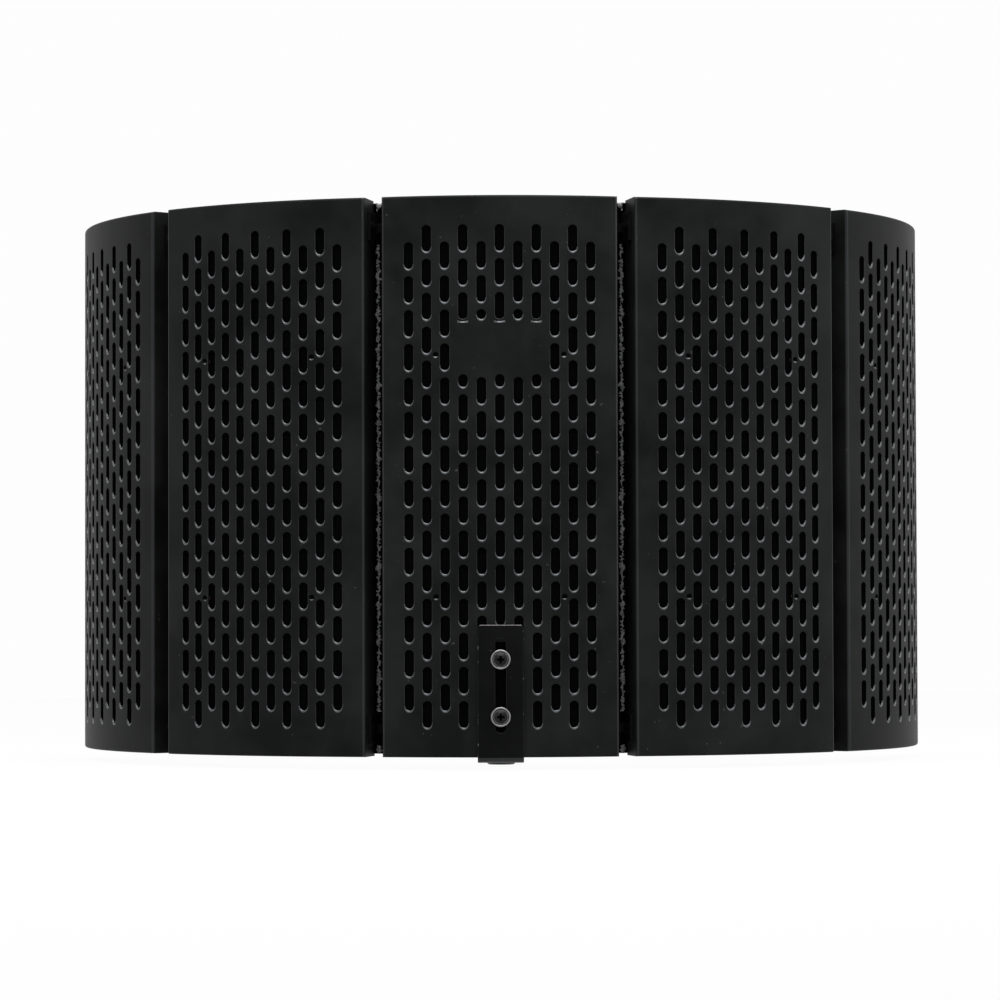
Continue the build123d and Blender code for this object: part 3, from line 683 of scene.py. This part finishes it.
def foam_block(hinged_sides, lit_ridge_side=None):
    """A panel's pyramid foam, with lips at its hinged sides, as a bmesh in the panel's own frame."""
    across = np.linspace(-1, 1, FOAM_CUTS_ACROSS + 1)
    heights = np.linspace(FOAM_INSET, PANEL_HEIGHT - FOAM_INSET, FOAM_CUTS_UP + 1)
    column = np.abs(((across + 1) / 2 * PYRAMID_COLUMNS) % 1 - 0.5) * 2
    middle_arc = 2 * radians(HALF_ANGLE) * (VALLEY_RADIUS - PYRAMID_HEIGHT / 2)
    column_flat = FOAM_FLAT * PYRAMID_COLUMNS / middle_arc
    column_height = PYRAMID_HEIGHT * np.clip((column - column_flat) / (1 - 2 * column_flat), 0, 1)
    groove_reach = round(MIDDLE // PYRAMID_PITCH)
    grooves = np.arange(-groove_reach, groove_reach + 1) * PYRAMID_PITCH + MIDDLE
    row = np.abs(heights[:, None] - grooves[None, :]).min(axis=1) * 2 / PYRAMID_PITCH
    row_flat = FOAM_FLAT / PYRAMID_PITCH
    row_height = PYRAMID_HEIGHT * np.clip((row - row_flat) / (1 - 2 * row_flat), 0, 1)
    rise = smooth_least(column_height[None, :], row_height[:, None], FOAM_ROUNDING)
    radii = VALLEY_RADIUS - np.maximum(rise, 0)

    def point(share, radius, height):
        angle = share * (HALF_ANGLE - degrees(asin(FOAM_INSET / radius)))
        x, y = polar(radius, angle)
        return x, y, height

    pad = Patchwork()
    pyramids = [[point(u, radii[r, c], h) for c, u in enumerate(across)] for r, h in enumerate(heights)]
    pad.grid(pyramids, look=PYRAMIDS)
    # the skin behind the slots is painted near-black as shade
    front = OUTER_RADIUS - FOAM_INSET
    second = front - FOAM_SKIN
    skin = [[point(u, front, h) for u in across[::FOAM_COARSE]] for h in heights[::FOAM_COARSE]]
    pad.grid(skin, look=SHADED_SKIN)
    steps = np.linspace(0, 1, FOAM_CUTS_DEEP + 1)

    def close_side(edge):
        """Wall from the skin to the pyramids along an edge of (share across, pyramids' radius, height)."""
        pad.grid([
            [point(u, second + (radius - second) * step, h) for step in steps] for u, radius, h in edge
        ])
        for start in range(0, len(edge) - 1, FOAM_COARSE):
            fine = [point(u, second, h) for u, _, h in edge[start:start + FOAM_COARSE + 1]]
            corners = [point(u, front, h) for u, _, h in (edge[start + FOAM_COARSE], edge[start])]
            pad.outline(fine + corners, look=SHADED_SKIN)

    for c in (0, -1):
        close_side([(across[c], radii[r, c], h) for r, h in enumerate(heights)])
    for r in (0, -1):
        close_side([(u, radii[r, c], heights[r]) for c, u in enumerate(across)])
    for side in hinged_sides:
        foam_lips(pad, side, side == lit_ridge_side)
    return pad.to_bmesh()


def roughen(whole, seed):
    """Torn cells on the surface of a foam pad. Its lips stay smooth, so that they keep their room."""
    whole.normal_update()
    side = radians(HALF_ANGLE)
    shift = Vector([seed * step for step in NOISE_SHIFT])
    moves = []
    for corner in whole.verts:
        place = corner.co + shift
        pores = sum(noise.noise(place * frequency) * share for frequency, share in PORE_NOISE)
        swell = noise.noise(place * SWELL_FREQUENCY)
        past_side = abs(corner.co.x) * cos(side) + corner.co.y * sin(side) + FOAM_INSET
        move = PORE_DEPTH * pores + SWELL_DEPTH * swell - FOAM_SINK
        moves.append(corner.normal * (0 if past_side > LIP_LEAST else move))
    for corner, move in zip(whole.verts, moves):
        corner.co += move


# ---- Stand thread, and the nut on it ----
def threaded(radius, depth, pitch, low, high, steps_per_turn=6):
    """Rows of points of a screw thread's surface, cut inwards from the radius."""
    count = ceil((high - low) / pitch * steps_per_turn)
    rows = []
    for step in range(count + 1):
        z = low + (high - low) * step / count
        fade = min(1.0, (z - low) / pitch + THREAD_START, (high - z) / pitch + THREAD_START)
        row = []
        for facet in range(ROUND_FACETS):
            turn = tau * facet / ROUND_FACETS
            phase = (z / pitch - facet / ROUND_FACETS) % 1
            cut = depth * (1 - abs(2 * phase - 1)) * fade
            row.append(((radius - cut) * cos(turn), (radius - cut) * sin(turn), z))
        rows.append(row)
    return rows


def ring_at(radius, z, facets=ROUND_FACETS):
    return [(radius * cos(tau * f / facets), radius * sin(tau * f / facets), z) for f in range(facets)]


def thread_post():
    """The stand's threaded post, with a groove over its nut and a threaded hole up its middle."""
    post = Patchwork()
    nut_top = NUT_BASE + NUT_HEIGHT
    shoulder = POST_RADIUS - POST_CHAMFER
    mouth = ring_at(STAND_HOLE_RADIUS + STAND_HOLE_CHAMFER, 0)
    rows = [mouth, ring_at(shoulder, 0)]
    rows += threaded(POST_RADIUS, POST_THREAD_DEPTH, POST_PITCH, POST_CHAMFER, nut_top)
    rows += [ring_at(RELIEF_RADIUS, nut_top), ring_at(RELIEF_RADIUS, RELIEF_TOP)]
    rows += threaded(POST_RADIUS, POST_THREAD_DEPTH, POST_PITCH, RELIEF_TOP, POST_TOP - POST_CHAMFER)
    rows += [ring_at(shoulder, POST_TOP), ring_at(POST_CAP, POST_TOP)]
    post.grid(rows, is_closed=True)
    post.outline(ring_at(POST_CAP, POST_TOP))
    bottom = ring_at(STAND_HOLE_RADIUS, STAND_HOLE_DEPTH)
    inside = threaded(
        STAND_HOLE_RADIUS + STAND_THREAD_DEPTH, STAND_THREAD_DEPTH, STAND_HOLE_PITCH, STAND_HOLE_CHAMFER,
        STAND_HOLE_DEPTH - STAND_THREAD_END, steps_per_turn=8,
    )
    post.grid([mouth, *inside, bottom], is_closed=True)
    post.outline(bottom)
    return post.to_bmesh()


def cupped_washers():
    """Dished washers under the bracket's screws."""
    washers = Patchwork()
    for height in SCREW_HEIGHTS:
        rows = []
        for radius, rise in WASHER_PROFILE + WASHER_PROFILE[:1]:
            ring = ring_at(radius, 0, WASHER_FACETS)
            rows.append([(x, WASHER_BACK - rise, z + PANEL_BASE + height) for x, z, _ in ring])
        washers.grid(rows, is_closed=True)
    return washers.to_bmesh()


def hex_nut():
    """Hexagon nut with its corners turned down to a cone at both faces."""
    nut = Patchwork()
    flat = NUT_ACROSS / 2
    face = flat * NUT_FACE_SHARE
    low, high = NUT_BASE, NUT_BASE + NUT_HEIGHT

    def hexagon(end):
        ring = []
        for facet in range(ROUND_FACETS):
            turn = tau * facet / ROUND_FACETS
            off = (turn + pi / 6) % (pi / 3) - pi / 6
            radius = flat / cos(off)
            drop = max(NUT_LEAST_DROP, (radius - face) * NUT_CONE_SLOPE)
            z = low + drop if end < 0 else high - drop
            ring.append((radius * cos(turn), radius * sin(turn), z))
        return ring

    bore = POST_RADIUS + NUT_PLAY
    mouth = bore + NUT_CHAMFER
    nut.grid([
        ring_at(bore, low + NUT_CHAMFER), ring_at(mouth, low), ring_at(face, low), hexagon(-1),
        hexagon(1), ring_at(face, high), ring_at(mouth, high), ring_at(bore, high - NUT_CHAMFER),
        ring_at(bore, low + NUT_CHAMFER),
    ], is_closed=True)
    return nut.to_bmesh()


# ---- Materials ----
def set_inputs(tree, node, values):
    """Sets or links input sockets of a shader node, by name or number."""
    for key, value in values.items():
        if isinstance(value, bpy.types.NodeSocket):
            tree.links.new(value, node.inputs[key])
        else:
            node.inputs[key].default_value = value


def add_node(tree, kind, values=(), **settings):
    node = tree.nodes.new(kind)
    for name, value in settings.items():
        setattr(node, name, value)
    set_inputs(tree, node, dict(values))
    return node


def new_material(name):
    """A material, its node tree, its shader and the place of a point in metres."""
    material = bpy.data.materials.new(name)
    material.use_nodes = True
    tree = material.node_tree
    place = add_node(tree, "ShaderNodeTexCoord").outputs["Object"]
    return material, tree, tree.nodes["Principled BSDF"], place


def colour(red, green, blue):
    return red, green, blue, 1.0


def scaled(tone, share):
    return colour(*(c * share for c in tone))


def speckle(tree, place, scale, detail=4.0, roughness=0.6):
    values = {"Vector": place, "Scale": scale, "Detail": detail, "Roughness": roughness}
    return add_node(tree, "ShaderNodeTexNoise", values).outputs["Fac"]


def foam_cells(tree, place, scale):
    values = {"Vector": place, "Scale": scale}
    return add_node(tree, "ShaderNodeTexVoronoi", values, feature="F1").outputs["Distance"]


def ramp(tree, value, low, high, out_low, out_high):
    values = {"Value": value, "From Min": low, "From Max": high, "To Min": out_low, "To Max": out_high}
    return add_node(tree, "ShaderNodeMapRange", values).outputs["Result"]


def calculate(tree, operation, *values):
    return add_node(tree, "ShaderNodeMath", dict(enumerate(values)), operation=operation).outputs[0]


def mixed(tree, share, first, second):
    return add_node(tree, "ShaderNodeMix", {0: share, 6: first, 7: second}, data_type="RGBA").outputs[2]


def bump(tree, height, strength, distance, normal=None):
    values = {"Height": height, "Strength": strength, "Distance": distance}
    if normal:
        values["Normal"] = normal
    return add_node(tree, "ShaderNodeBump", values).outputs["Normal"]


def powder_coat(name, tone, roughness, gloss):
    """Satin black powder coat: fine orange peel, cloudiness and a little dust."""
    material, tree, shader, place = new_material(name)
    cloud = speckle(tree, place, 22.0, detail=3.0)
    grain = speckle(tree, place, 2600.0, detail=2.0)
    peel = speckle(tree, place, 750.0, detail=2.0, roughness=0.5)
    paint = mixed(tree, ramp(tree, cloud, 0.36, 0.64, 0, 1), scaled(tone, 0.55), scaled(tone, 1.45))
    dust = ramp(tree, speckle(tree, place, 330.0, detail=2.0), 0.72, 0.78, 0, 0.5)
    set_inputs(tree, shader, {
        "Base Color": mixed(tree, dust, paint, colour(0.09, 0.09, 0.088)),
        "Roughness": ramp(tree, cloud, 0.3, 0.7, roughness - 0.03, roughness + 0.04),
        "Normal": bump(tree, peel, 0.35, 0.00012, bump(tree, grain, 0.25, 0.00005)),
        "Specular IOR Level": gloss,
        "Specular Tint": colour(0.91, 0.96, 1.0),
    })
    return material


def chipped_edge_and_highlight():
    """The bracket's edges: paint with small bare chips along its sides, and a painted highlight of bright
    metal along its top.
    """
    material, tree, shader, place = new_material("chipped_edge_and_highlight")
    axes = add_node(tree, "ShaderNodeSeparateXYZ", {0: place}).outputs
    across = calculate(tree, "ABSOLUTE", axes["X"])
    spots = ramp(tree, speckle(tree, place, 320.0, detail=5.0, roughness=0.7), 0.6, 0.64, 0, 1)
    chips = calculate(tree, "MULTIPLY", spots, ramp(tree, across, *CHIPPED_SIDES, 0, 1))
    # bare metal chips along the sides are wear; the bright metal along the top is a painted highlight
    bare_chips_and_highlight = calculate(tree, "MAXIMUM", chips, ramp(tree, axes["Z"], *TOP_HIGHLIGHT, 0, 0.6))
    set_inputs(tree, shader, {
        "Base Color": mixed(tree, bare_chips_and_highlight, colour(0.005, 0.005, 0.005), colour(0.3, 0.29, 0.28)),
        "Metallic": bare_chips_and_highlight,
        "Roughness": 0.34,
        "Specular IOR Level": 0.12,
    })
    return material


def acoustic_foam(name, light):
    """Charcoal open-cell foam: dark pores between lighter torn edges."""
    material, tree, shader, place = new_material(name)
    cells = foam_cells(tree, place, 900.0)
    fuzz = speckle(tree, place, 1500.0, detail=3.0)
    grey = (light, light, light * 1.04)
    deep = mixed(tree, ramp(tree, cells, 0.15, 0.75, 0, 1), scaled(grey, 0.15), scaled(grey, 0.45))
    set_inputs(tree, shader, {
        "Base Color": mixed(tree, ramp(tree, fuzz, 0.5, 0.72, 0, 0.55), deep, scaled(grey, 1.0)),
        "Roughness": 0.95,
        "Specular IOR Level": 0.05,
        "Sheen Weight": 0.1,
        "Sheen Roughness": 0.6,
        "Normal": bump(tree, cells, 0.8, 0.0006, bump(tree, fuzz, 0.5, 0.0004)),
    })
    return material


def painted_shade_black():
    """Near-black painted shade, for the foam's skin behind the slots and its lips, and for shaded faces of
    the panels' sheets.
    """
    material, tree, shader, place = new_material("painted_shade_black")
    light = ramp(tree, foam_cells(tree, place, 1100.0), 0.2, 0.7, 0, 1)
    set_inputs(tree, shader, {
        "Base Color": mixed(tree, light, colour(0.0008, 0.0008, 0.0009), colour(0.002, 0.0021, 0.0022)),
        "Roughness": 1.0,
        "Specular IOR Level": 0.0,
    })
    return material


def plated_steel(name, tone, roughness, shade_places=None):
    """Metal with fine scratches and uneven sheen. An optional function gives the places where near-black
    shade is painted.
    """
    material, tree, shader, place = new_material(name)
    cloud = speckle(tree, place, 160.0, detail=4.0)
    scratch = speckle(tree, place, 3000.0, detail=2.0)
    base = mixed(tree, ramp(tree, cloud, 0.35, 0.65, 0, 1), scaled(tone, 0.8), colour(*tone))
    if shade_places:
        # near-black painted shade where the function gives it
        base = mixed(tree, shade_places(tree, place), base, colour(0.001, 0.001, 0.001))
    set_inputs(tree, shader, {
        "Base Color": base,
        "Metallic": 1.0,
        "Roughness": ramp(tree, cloud, 0.3, 0.7, roughness - 0.06, roughness + 0.08),
        "Normal": bump(tree, scratch, 0.2, 0.00003),
    })
    return material


def cross_painted_shade(tree, place):
    """Painted shade in and round the crosses of the bracket's screws."""
    axes = add_node(tree, "ShaderNodeSeparateXYZ", {0: place}).outputs
    across = calculate(tree, "ABSOLUTE", axes["X"])
    total = 0.0
    for height in SCREW_HEIGHTS:
        middle = (PANEL_BASE + height) * MM
        rise = calculate(tree, "ABSOLUTE", calculate(tree, "SUBTRACT", axes["Z"], middle))
        arms = ramp(tree, calculate(tree, "MINIMUM", across, rise), *CROSS_ARM, 1, 0)
        ends = ramp(tree, calculate(tree, "MAXIMUM", across, rise), *CROSS_END, 1, 0)
        total = calculate(tree, "ADD", total, calculate(tree, "MULTIPLY", arms, ends))
    return total


def seen_white(tree):
    """1 for rays from the camera, in reflections and through glass."""
    path = add_node(tree, "ShaderNodeLightPath").outputs
    seen = calculate(tree, "MAXIMUM", path["Is Camera Ray"], path["Is Glossy Ray"])
    return calculate(tree, "MAXIMUM", seen, path["Is Transmission Ray"])


def stage_white():
    """Pale floor: white to the camera, to reflections and through glass, and shaded a little by shadows."""
    material = bpy.data.materials.new("stage_white")
    material.use_nodes = True
    tree = material.node_tree
    tree.nodes.clear()
    cover = calculate(tree, "MULTIPLY", seen_white(tree), 0.96)
    paper = add_node(tree, "ShaderNodeBsdfDiffuse", {"Color": colour(0.86, 0.86, 0.86)}).outputs[0]
    glow = add_node(tree, "ShaderNodeEmission", {"Color": colour(1, 1, 1), "Strength": 1.0}).outputs[0]
    mix = add_node(tree, "ShaderNodeMixShader", {0: cover, 1: paper, 2: glow}).outputs[0]
    add_node(tree, "ShaderNodeOutputMaterial", {"Surface": mix})
    return material


# ---- Pieces ----
def dress(piece, *materials):
    """Gives a piece these materials. On a new mesh, clearing them would reset its faces' looks."""
    if piece.data.materials:
        piece.data.materials.clear()
    for material in materials:
        piece.data.materials.append(material)


def soften_edges(node, width, look=0):
    """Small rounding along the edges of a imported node, of the material with that number."""
    weld = node.modifiers.new("weld", "WELD")
    weld.merge_threshold = WELD_DISTANCE * MM
    flat = node.modifiers.new("flat_faces", "DECIMATE")
    flat.decimate_type = "DISSOLVE"
    flat.angle_limit = radians(FLAT_ANGLE)
    edges = node.modifiers.new("edges", "BEVEL")
    edges.width = width * MM
    edges.segments = 2
    edges.material = look
    edges.limit_method = "ANGLE"
    edges.angle_limit = radians(EDGE_ANGLE)
    edges.harden_normals = False
    weigh_normals(node)


panel_black = powder_coat("panel_powder_coat", (0.0078, 0.0081, 0.0079), 0.48, 0.063)
hinge_black = powder_coat("hinge_paint", (0.004, 0.004, 0.0042), 0.45, 0.05)
rim_black = powder_coat("rolled_rims", (0.008, 0.008, 0.0085), 0.3, 1.0)
fold_black = powder_coat("rubbed_folds", (0.008, 0.008, 0.0085), 0.36, 0.28)
bracket_black = powder_coat("bracket_powder_coat", (0.0025, 0.0025, 0.0026), 0.4, 0.052)
edge_chips_and_highlight = chipped_edge_and_highlight()
foam_black = acoustic_foam("acoustic_foam", 0.13)
# light grey foam for the lips' crests: painted light for light between the pads
foam_painted_light = acoustic_foam("foam_crest_painted_light", 0.55)
# near-black painted shade, for the foam's skin and lips and for the sheet's shaded faces
shade_black = painted_shade_black()
black_oxide = plated_steel("black_oxide", (0.05, 0.05, 0.052), 0.42)
dark_screw = plated_steel("dark_screw", (0.021, 0.021, 0.022), 0.4, shade_places=cross_painted_shade)
nickel = plated_steel("satin_nickel", (0.24, 0.238, 0.235), 0.3)
zinc = plated_steel("zinc_plate", (0.52, 0.53, 0.55), 0.36)
copper = plated_steel("copper_wash", (0.62, 0.36, 0.22), 0.4)

for number, (name, place) in enumerate(PLACES.items()):
    body = BODIES[name]
    whole = panel_sheet(name == "center")
    stand(whole, place)
    sheet_piece = finished(whole, f"{name}_panel_sheet")
    weigh_normals(sheet_piece)
    dress(sheet_piece, panel_black, rim_black, fold_black, shade_black)
    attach(sheet_piece, body)
    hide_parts(f"{name}_panel")

    whole = foam_block(HINGED_SIDES.get(name, (-1, 1)), LIT_RIDGE_SIDES.get(name))
    roughen(whole, number)
    stand(whole, place)
    pad = finished(whole, f"{name}_pyramid_foam", sharp_angle=75)
    dress(pad, foam_black, shade_black, foam_painted_light)
    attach(pad, body)
    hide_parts(f"{name}_foam")

for maker, name, body, node, material, slot in (
    (thread_post, "threaded_post", "stand_bracket", "thread_post", black_oxide, "black_steel"),
    (hex_nut, "chamfered_post_nut", "stand_bracket", "post_nut", black_oxide, "black_steel"),
    (cupped_washers, "cupped_washers", "center_panel", "bracket_washers", nickel, "bright_steel"),
):
    piece = finished(maker(), name, sharp_angle=50)
    dress(piece, material)
    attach(piece, body)
    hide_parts(node)

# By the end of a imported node's name: its materials, the last one for its edges, and their rounding.
finishes = {
    "mounting_bracket": ((bracket_black, fold_black, edge_chips_and_highlight), 0.4),
    "bracket_screws": ((dark_screw,), 0.08),
    "bracket_nuts": ((zinc,), 0.15),
    "_rivets": ((hinge_black,), 0.1),
    "_leaf": ((hinge_black,), 0.25),
    "_pin": ((hinge_black,), 0.12),
    "_studs": ((copper,), 0.1),
}
for name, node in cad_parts.items():
    if node.hide_render:
        continue
    looks, width = next(finish for ending, finish in finishes.items() if name.endswith(ending))
    dress(node, *looks)
    if name == "mounting_bracket":
        turned = node.matrix_world.to_3x3()
        for face in node.data.polygons:
            if RUBBED_SLOPES[0] < (turned @ face.normal).z < RUBBED_SLOPES[1]:
                face.material_index = looks.index(fold_black)
    soften_edges(node, width, look=len(looks) - 1)


# ---- Stage, light and camera ----
def stage_plane(name, corners):
    mesh = bpy.data.meshes.new(name)
    mesh.from_pydata(corners, [], [(0, 1, 2, 3)])
    plane = bpy.data.objects.new(name, mesh)
    bpy.context.scene.collection.objects.link(plane)
    dress(plane, white)


white = stage_white()
stage_plane("floor", [(-3, -3, 0), (3, -3, 0), (3, 2, 0), (-3, 2, 0)])


def soft_lamp(name, place, target, width, height, power):
    lamp = bpy.data.lights.new(name, "AREA")
    lamp.shape = "RECTANGLE"
    lamp.size = width
    lamp.size_y = height
    lamp.energy = power
    holder = bpy.data.objects.new(name, lamp)
    holder.location = place
    holder.rotation_euler = (Vector(target) - Vector(place)).to_track_quat("-Z", "Y").to_euler()
    bpy.context.scene.collection.objects.link(holder)


soft_lamp("overhead_lamp", (0, -0.4, 1.1), (0, -0.3, 0.2), width=1.1, height=1.1, power=19)
soft_lamp("left_lamp", (-1.7, -0.1, 0.7), (0, 0, 0.15), width=0.8, height=1.2, power=1.5)
soft_lamp("right_lamp", (1.7, -0.1, 0.7), (0, 0, 0.15), width=0.8, height=1.2, power=6)

world = bpy.data.worlds.new("studio")
bpy.context.scene.world = world
world.use_nodes = True
tree = world.node_tree
tree.nodes.clear()
room, backdrop = (
    add_node(tree, "ShaderNodeBackground", {"Color": colour(1, 1, 1), "Strength": strength}).outputs[0]
    for strength in (0.3, 0.985)
)
mix = add_node(tree, "ShaderNodeMixShader", {0: seen_white(tree), 1: room, 2: backdrop}).outputs[0]
add_node(tree, "ShaderNodeOutputWorld", {"Surface": mix})

CAMERA_PLACE = (3.5, -2277.1, 81.9)
CAMERA_YAW, CAMERA_PITCH, CAMERA_ROLL = 0.094, 1.680, 0.165
FOCAL_SHARE = 4.0425  # focal length over the frame's width
camera = bpy.data.cameras.new("camera")
camera.sensor_width = 36.0
camera.lens = FOCAL_SHARE * camera.sensor_width
camera.clip_start, camera.clip_end = 0.05, 50
holder = bpy.data.objects.new("camera", camera)
turn = (
    Matrix.Rotation(radians(CAMERA_YAW), 4, "Z")
    @ Matrix.Rotation(radians(CAMERA_PITCH), 4, "X")
    @ Matrix.Rotation(radians(CAMERA_ROLL), 4, "Y")
    @ Matrix.Rotation(pi / 2, 4, "X")
)
holder.matrix_world = Matrix.Translation(Vector(CAMERA_PLACE) * MM) @ turn
bpy.context.scene.collection.objects.link(holder)
bpy.context.scene.camera = holder
bpy.context.scene.view_settings.view_transform = "Standard"
